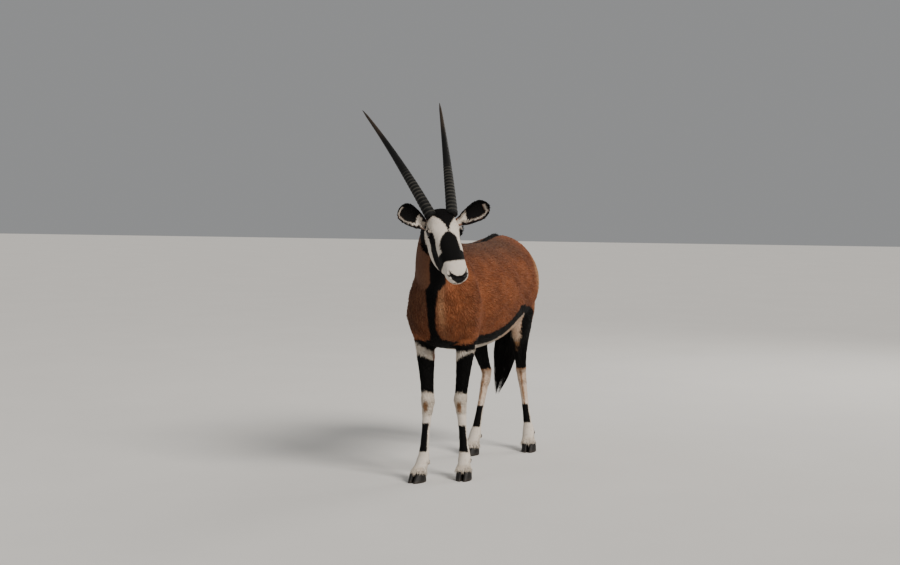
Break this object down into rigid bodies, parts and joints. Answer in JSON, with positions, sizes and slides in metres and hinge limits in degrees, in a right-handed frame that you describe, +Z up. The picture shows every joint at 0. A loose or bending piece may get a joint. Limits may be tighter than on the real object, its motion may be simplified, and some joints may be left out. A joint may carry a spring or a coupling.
{
  "type": "gemsbok",
  "caption": "Standing long-horned antelope with its head turned, straight ringed horns, cupped ears, cloven hooves and a long tufted tail.",
  "frame": {"origin": "on the floor, under the middle of the box round the whole animal", "axes": "+Z up, the animal faces -Y and its left side is towards +X"},
  "size_m": [0.7854, 1.6138, 1.9356],
  "materials": {
    "coat": "short smooth hair, brown with black and white markings",
    "horn": "dark ridged keratin, slightly glossy",
    "eye": "wet, glossy dark brown",
    "claw": "dull dark keratin",
    "switch_hair": "long coarse black hair of the tail, mane and back"
  },
  "bodies": {
    "root": {"torso": "coat", "head": "coat", "neck": "coat", "hind_left_upper_leg": "coat", "hind_right_upper_leg": "coat", "fore_right_upper_leg": "coat", "fore_left_upper_leg": "coat", "tail": "switch_hair", "hind_right_lower_leg": "coat", "hind_left_lower_leg": "coat", "fore_right_lower_leg": "coat", "fore_left_lower_leg": "coat", "horn_left": "horn", "ear_left": "coat", "eye_left": "eye", "horn_right": "horn", "ear_right": "coat", "eye_right": "eye", "fore_right_claw_outer": "claw", "fore_right_claw_inner": "claw", "fore_left_claw_outer": "claw", "fore_left_claw_inner": "claw", "hind_right_claw_outer": "claw", "hind_right_claw_inner": "claw", "hind_left_claw_outer": "claw", "hind_left_claw_inner": "claw"}
  },
  "joints": []
}
